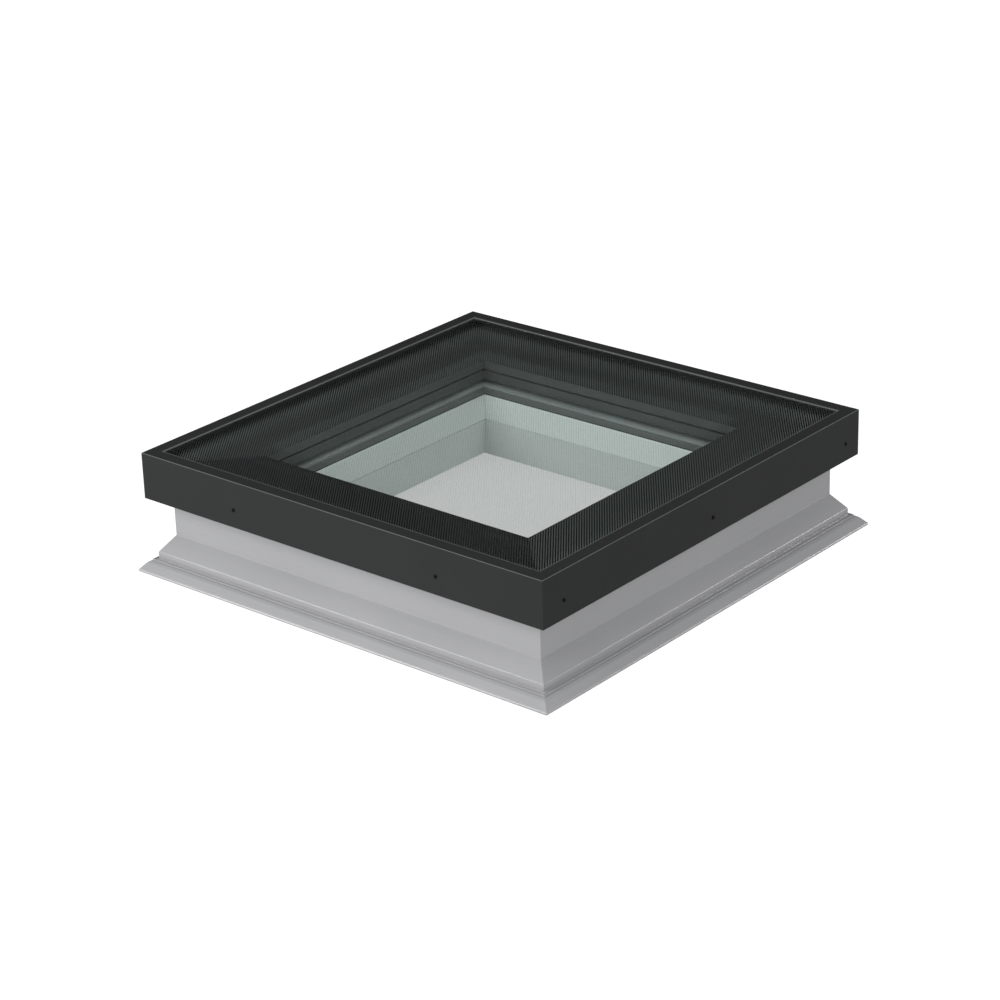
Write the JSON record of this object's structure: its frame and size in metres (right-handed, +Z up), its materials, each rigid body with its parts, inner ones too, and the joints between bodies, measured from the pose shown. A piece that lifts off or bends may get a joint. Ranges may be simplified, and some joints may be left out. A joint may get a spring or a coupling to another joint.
{
  "type": "roof skylight",
  "caption": "Square fixed flat-roof skylight: dark metal cover, striped walk-on pane with a dark border, stepped glazed unit, and a pale hollow plastic upstand with splayed skirt and flange.",
  "frame": {"origin": "middle of the footprint, on the plane that the foot stands on", "axes": "+Z up, +Y towards the back side, +X towards the right side"},
  "size_m": [0.9306, 0.9306, 0.226],
  "materials": {
    "cover_coating": "fine satin powder coat, anthracite",
    "black_screws": "black coated steel",
    "key_aluminium": "mill",
    "pane_glass": "clear float glass, slight green tint",
    "dark_enamel": "fired enamel, near black",
    "spacer_bar": "dark grey spacer bar",
    "sealant": "black sealant",
    "bed_tape": "black foam tape",
    "gasket_rubber": "black rubber",
    "block_plastic": "moulded",
    "frame_pvc": "dark grey extrusion",
    "galvanised_steel": "galvanised",
    "curb_pvc": "light grey extrusion, satin",
    "insulation": "rigid foam"
  },
  "bodies": {
    "root": {"border_print": "dark_enamel", "cover_back": "cover_coating", "cover_corner_keys": "key_aluminium", "cover_front": "cover_coating", "cover_gasket": "gasket_rubber", "cover_left": "cover_coating", "cover_right": "cover_coating", "cover_screws": "black_screws", "curb_back": "curb_pvc", "curb_core_back": "insulation", "curb_core_front": "insulation", "curb_core_left": "insulation", "curb_core_right": "insulation", "curb_front": "curb_pvc", "curb_gasket": "gasket_rubber", "curb_left": "curb_pvc", "curb_right": "curb_pvc", "frame_reinforcement_back": "galvanised_steel", "frame_reinforcement_front": "galvanised_steel", "frame_reinforcement_left": "galvanised_steel", "frame_reinforcement_right": "galvanised_steel", "frame_screws": "galvanised_steel", "glazing_edge_seal": "sealant", "glazing_frame_back": "frame_pvc", "glazing_frame_front": "frame_pvc", "glazing_frame_left": "frame_pvc", "glazing_frame_right": "frame_pvc", "inner_pane": "pane_glass", "lower_spacer": "spacer_bar", "middle_pane": "pane_glass", "pane_bed_tape": "bed_tape", "seat_gasket": "gasket_rubber", "setting_blocks": "block_plastic", "upper_spacer": "spacer_bar", "walk_on_pane": "pane_glass"}
  },
  "joints": []
}
